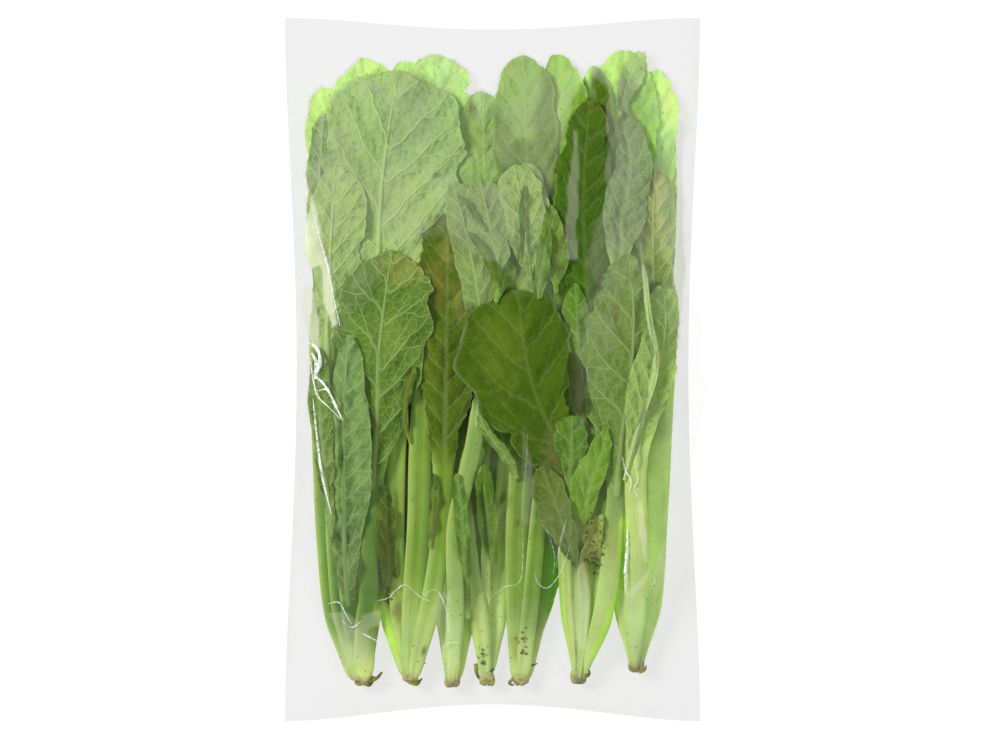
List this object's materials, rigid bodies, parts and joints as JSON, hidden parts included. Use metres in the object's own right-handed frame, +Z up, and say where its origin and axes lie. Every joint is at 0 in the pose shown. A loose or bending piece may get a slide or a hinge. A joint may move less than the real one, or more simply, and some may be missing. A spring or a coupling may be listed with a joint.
{
  "type": "mustard greens bunch",
  "caption": "Bunch of cut mustard greens lying flat in a clear film bag, with lobed leaves fanned over one another and pale stalks gathered at their cut root ends.",
  "frame": {"origin": "middle of the bag's flat underside", "axes": "+Y from the cut roots to the leaf tips, +X to the right seen from above with the tips up, +Z up from the table"},
  "size_m": [0.249, 0.422, 0.0392],
  "materials": {
    "greens": "satin",
    "film": "gloss"
  },
  "bodies": {
    "root": {"plant_1": "greens", "plant_2": "greens", "plant_3": "greens", "plant_4": "greens", "plant_5": "greens", "plant_6": "greens", "plant_7": "greens", "bag_film": "film"}
  },
  "joints": []
}
